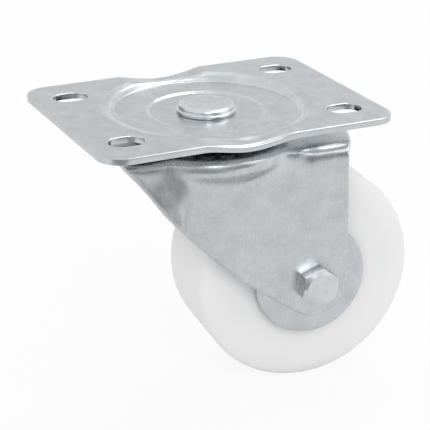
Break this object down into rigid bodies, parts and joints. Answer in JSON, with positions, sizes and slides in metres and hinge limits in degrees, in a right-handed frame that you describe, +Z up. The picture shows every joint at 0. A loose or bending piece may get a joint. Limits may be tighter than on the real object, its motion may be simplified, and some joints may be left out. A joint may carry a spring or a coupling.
{
  "type": "swivel castor",
  "caption": "Plate-mounted swivel castor: pressed plate and fork on a double ball race, solid nylon wheel on a roller bearing.",
  "frame": {"origin": "centre of the top plate's mounting face, on the swivel axis", "axes": "+Z up along the swivel axis, out of the mounting face; +X along the plate's long side, towards the trailing wheel; +Y across the plate"},
  "size_m": [0.1259, 0.08, 0.1025],
  "materials": {
    "zinc_plate": "bright zinc plate on pressed sheet, satin",
    "zinc_fork": "bright zinc plate on drawn sheet, finely mottled",
    "zinc_pin": "zinc plated turned steel, riveted over",
    "race_steel": "zinc plated, greased inside",
    "ball_steel": "polished ball steel under dark grease",
    "white_nylon": "natural white nylon, satin, slightly translucent",
    "cage_nylon": "moulded nylon",
    "roller_steel": "ground steel, greased",
    "tube_steel": "zinc plated tube",
    "zinc_guard": "bright zinc plate on thin pressed sheet",
    "zinc_bolt": "bright zinc plate on forged steel",
    "ring_nylon": "translucent nylon locking ring"
  },
  "bodies": {
    "plate": {"top_plate": "zinc_plate", "king_pin": "zinc_pin", "lower_race": "race_steel"},
    "fork": {"fork": "zinc_fork", "axle_tube": "tube_steel", "near_guard": "zinc_guard", "far_guard": "zinc_guard", "axle_bolt": "zinc_bolt", "lock_nut": "zinc_bolt", "nut_ring": "ring_nylon"},
    "wheel": {"wheel": "white_nylon"},
    "roller_set": {"roller_cage": "cage_nylon", "roller_1": "roller_steel", "roller_2": "roller_steel", "roller_3": "roller_steel", "roller_4": "roller_steel", "roller_5": "roller_steel", "roller_6": "roller_steel", "roller_7": "roller_steel", "roller_8": "roller_steel"},
    "upper_ball_ring": {"upper_balls": "ball_steel"},
    "lower_ball_ring": {"lower_balls": "ball_steel"}
  },
  "joints": [
    {"name": "swivel", "type": "hinge", "parent": "plate", "child": "fork", "pos_m": [0, 0, 0], "axis": [0, 0, 1], "continuous": true},
    {"name": "wheel_spin", "type": "hinge", "parent": "fork", "child": "wheel", "pos_m": [0.03188, -0.00279, -0.0625], "axis": [0.0872, 0.9962, 0], "continuous": true},
    {"name": "roller_roll", "type": "hinge", "parent": "fork", "child": "roller_set", "pos_m": [0.03188, -0.00279, -0.0625], "axis": [0.0872, 0.9962, 0], "continuous": true},
    {"name": "upper_ball_roll", "type": "hinge", "parent": "plate", "child": "upper_ball_ring", "pos_m": [0, 0, 0], "axis": [0, 0, 1], "continuous": true},
    {"name": "lower_ball_roll", "type": "hinge", "parent": "plate", "child": "lower_ball_ring", "pos_m": [0, 0, 0], "axis": [0, 0, 1], "continuous": true}
  ],
  "couplings": [
    {"joint": "roller_roll", "follows": "wheel_spin", "ratio": 0.625},
    {"joint": "upper_ball_roll", "follows": "swivel", "ratio": 0.5},
    {"joint": "lower_ball_roll", "follows": "swivel", "ratio": 0.5}
  ]
}
